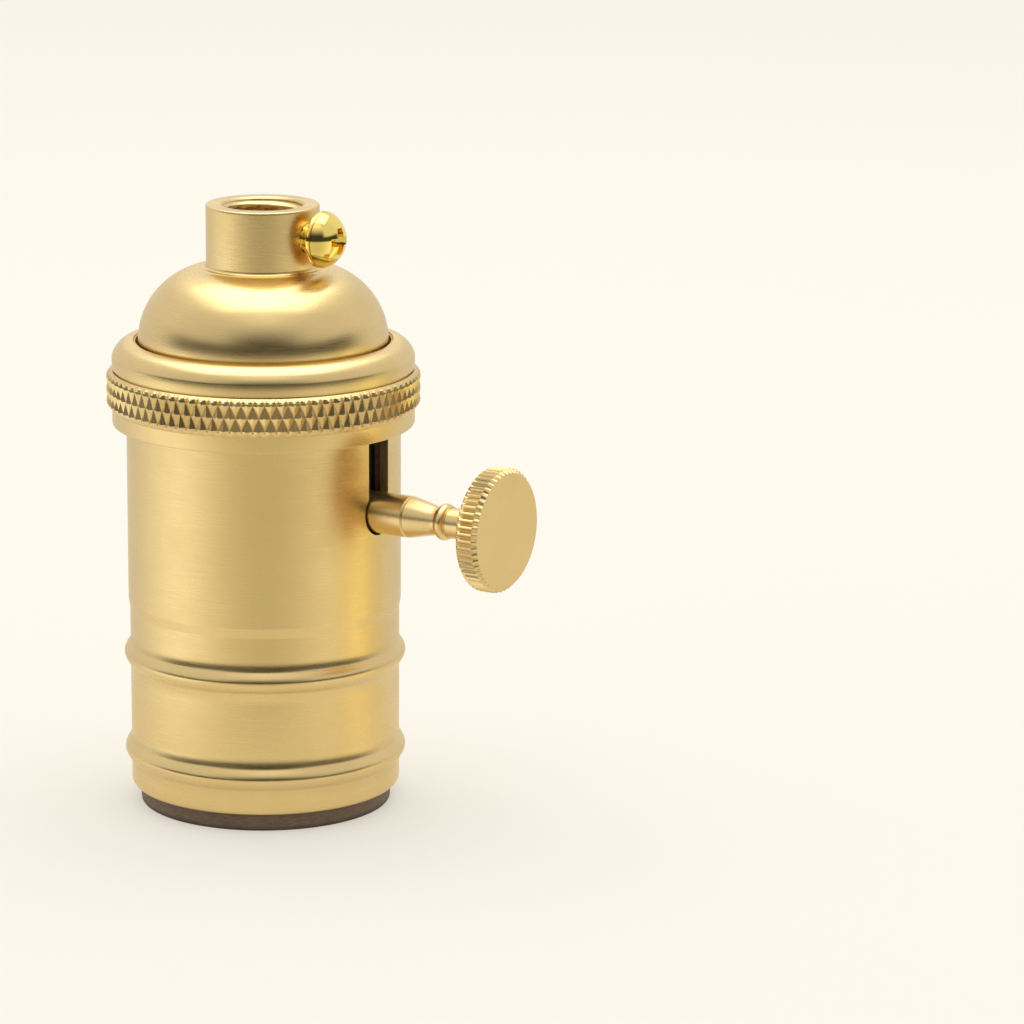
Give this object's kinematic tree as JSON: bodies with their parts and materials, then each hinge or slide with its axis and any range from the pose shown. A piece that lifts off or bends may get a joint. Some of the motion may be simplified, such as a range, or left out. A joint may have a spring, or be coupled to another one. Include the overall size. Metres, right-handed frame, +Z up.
{
  "type": "lamp holder",
  "caption": "Brass lamp holder with a turn-key switch, knurled coupling ring, domed cap with threaded neck and grip screw, and a fibre-lined screw shell.",
  "frame": {"origin": "centre of the mouth, on the plane of the liner's rim that the holder stands on", "axes": "+Z up the barrel's axis to the threaded neck; +X out along the key's spindle"},
  "size_m": [0.0555, 0.0394, 0.0767],
  "materials": {
    "brass_satin": "brushed",
    "fibre": "pressed fibre",
    "nickel": "nickel plated",
    "ceramic": "unglazed porcelain",
    "contact_brass": "rolled",
    "phenolic": "moulded",
    "screw_brass": "turned",
    "steel": "turned",
    "key_brass": "machined",
    "screw_gold": "polished"
  },
  "bodies": {
    "barrel": {"shell": "brass_satin", "fibre_liner": "fibre", "screw_shell": "nickel", "screw_shell_rivets": "nickel", "lamp_seat": "ceramic", "centre_leaf": "contact_brass", "contact_rivet": "contact_brass", "switch_cover": "phenolic", "switch_body": "phenolic", "line_strip": "contact_brass", "lamp_strip": "contact_brass", "neutral_strip": "contact_brass", "terminal_screws": "screw_brass", "detent_spring": "steel"},
    "switch_key": {"rotor": "phenolic", "bridge_blade": "contact_brass", "spindle": "steel", "spindle_clip": "steel", "key_knob": "key_brass"},
    "cap": {"cap": "brass_satin"},
    "coupling_ring": {"coupling_ring": "brass_satin"},
    "set_screw": {"set_screw": "screw_gold"},
    "contact_tip": {"contact_tip": "contact_brass"}
  },
  "joints": [
    {"name": "key_turn", "type": "hinge", "parent": "barrel", "child": "switch_key", "pos_m": [0, 0, 0.0394], "axis": [1, 0, 0], "continuous": true, "deforming": ["detent_spring"]},
    {"name": "cap_lift", "type": "slide", "parent": "barrel", "child": "cap", "axis": [0, 0, 1], "range_m": [0, 0.006]},
    {"name": "ring_turn", "type": "hinge", "parent": "cap", "child": "coupling_ring", "pos_m": [0, 0, 0.0545], "axis": [0, 0, 1], "range_deg": [0, 1440]},
    {"name": "screw_grip", "type": "slide", "parent": "cap", "child": "set_screw", "axis": [1, 0, 0], "range_m": [-0.0004, 0.0015]},
    {"name": "contact_press", "type": "slide", "parent": "barrel", "child": "contact_tip", "axis": [0, 0, 1], "range_m": [0, 0.0012], "stiffness_N_per_m": 800, "springref_m": -0.0005, "deforming": ["centre_leaf"]}
  ],
  "couplings": [
    {"joint": "cap_lift", "follows": "ring_turn", "m_per_rad": 0.0002387}
  ]
}
